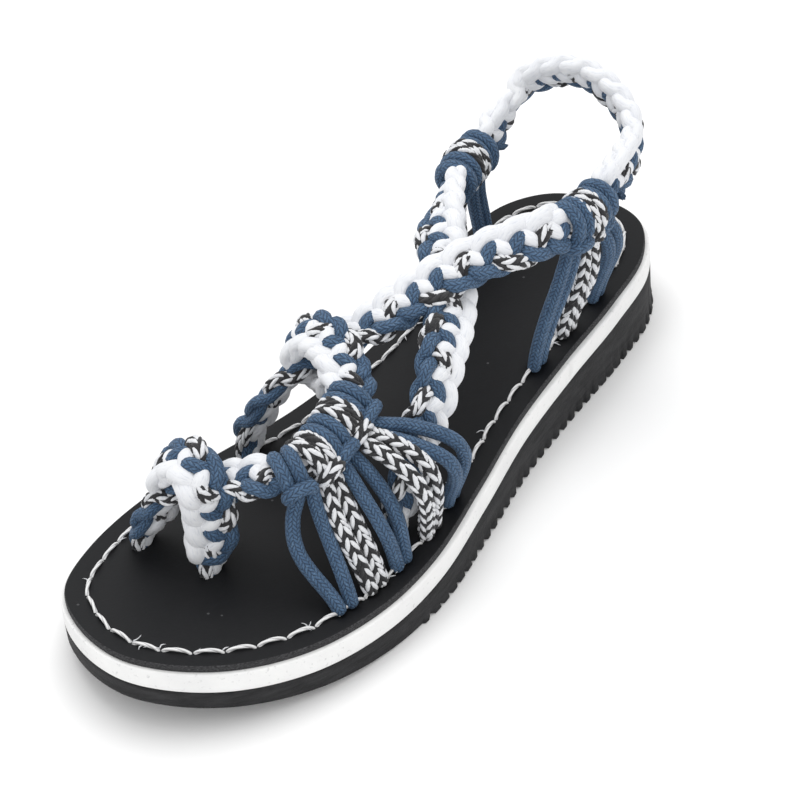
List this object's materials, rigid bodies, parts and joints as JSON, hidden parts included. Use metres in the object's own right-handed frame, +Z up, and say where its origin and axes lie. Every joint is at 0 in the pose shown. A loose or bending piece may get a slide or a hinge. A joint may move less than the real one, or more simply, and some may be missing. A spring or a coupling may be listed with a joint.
{
  "type": "woven rope sandal",
  "caption": "Open rope sandal for the left foot: plaited cord straps with looped side ropes on a flat layered sole, toe post and closed heel strap.",
  "frame": {"origin": "on the floor, under the middle of the sole's outline box", "axes": "+X to the outer side of the left foot, -Y towards the toe, +Y towards the heel, +Z up"},
  "size_m": [0.0958, 0.255, 0.0892],
  "materials": {
    "outsole_rubber": "rough black foamed rubber with cross ribs",
    "midsole_foam": "matt white foam",
    "insole_leather": "smooth black leather with white stitching",
    "plaited_cord": "white, blue and mixed braided cord",
    "blue_cord": "round braided blue cord",
    "mixed_cord": "round braided black and white cord"
  },
  "bodies": {
    "root": {"outsole": "outsole_rubber", "midsole": "midsole_foam", "insole": "insole_leather", "upper": "plaited_cord", "forefoot_rope_1": "blue_cord", "forefoot_rope_2": "mixed_cord", "forefoot_rope_3": "blue_cord", "forefoot_rope_4": "mixed_cord", "forefoot_rope_5": "blue_cord", "outer_ankle_rope_1": "blue_cord", "outer_ankle_rope_2": "mixed_cord", "outer_ankle_rope_3": "blue_cord", "inner_ankle_rope_1": "blue_cord", "inner_ankle_rope_2": "mixed_cord", "inner_ankle_rope_3": "blue_cord"}
  },
  "joints": []
}
